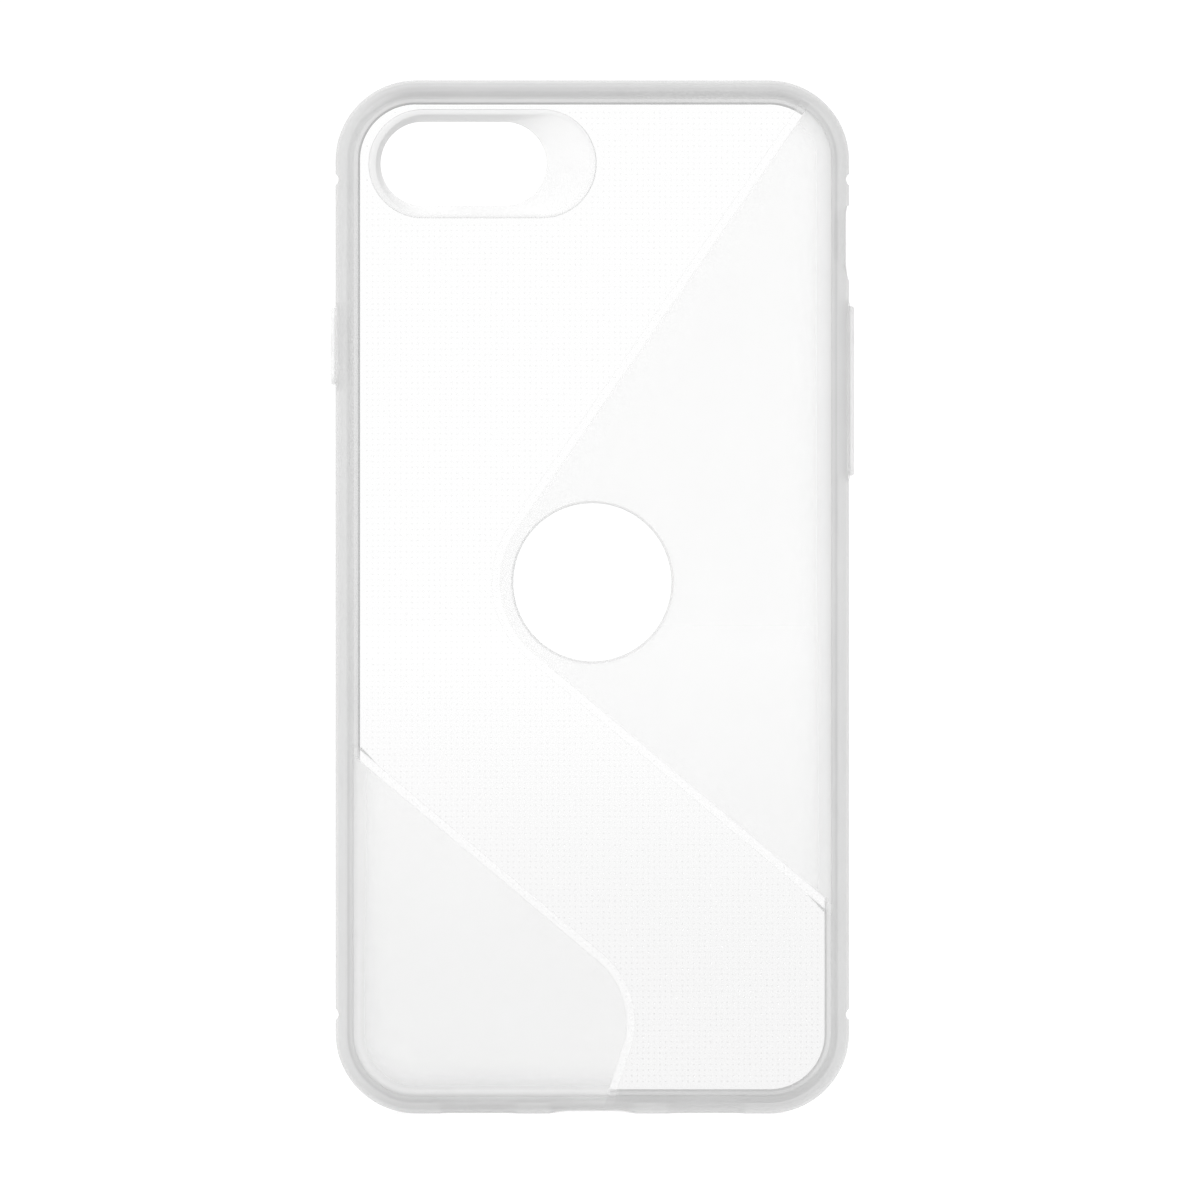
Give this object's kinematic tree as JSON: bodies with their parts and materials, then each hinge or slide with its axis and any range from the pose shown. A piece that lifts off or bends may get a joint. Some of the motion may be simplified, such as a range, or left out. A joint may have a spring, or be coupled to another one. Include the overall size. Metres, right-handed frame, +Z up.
{
  "type": "phone case",
  "caption": "Soft translucent case that wraps a small phone, with a glossy S-shaped band between frosted zones, a round window and pressable side buttons.",
  "frame": {"origin": "middle of the phone pocket, which is the middle of the phone that holds the case", "axes": "+Z up the height of the case to the camera end, +X towards the volume button, +Y out of the open screen side; the outside back faces -Y"},
  "size_m": [0.0716, 0.0095, 0.1414],
  "materials": {
    "frame_tpu": "satin translucent",
    "clear_tpu": "glossy clear",
    "frosted_tpu": "frosted",
    "button_tpu": "frosted"
  },
  "bodies": {
    "shell": {"bumper_frame": "frame_tpu", "back_plate": "clear_tpu", "frosted_main_panel": "frosted_tpu", "frosted_corner_panel": "frosted_tpu", "camera_surround": "frosted_tpu", "power_button_web": "frame_tpu", "volume_button_web": "frame_tpu"},
    "power_button": {"power_button_cover": "button_tpu"},
    "volume_button": {"volume_button_cover": "button_tpu"}
  },
  "joints": [
    {"name": "power_press", "type": "slide", "parent": "shell", "child": "power_button", "axis": [1, 0, 0], "range_m": [0, 0.0004], "stiffness_N_per_m": 5000},
    {"name": "volume_rock", "type": "hinge", "parent": "shell", "child": "volume_button", "pos_m": [0.0349, 0, 0.0282], "axis": [0, -1, 0], "range_deg": [-1.5, 1.5], "stiffness_Nm_per_rad": 0.5}
  ]
}
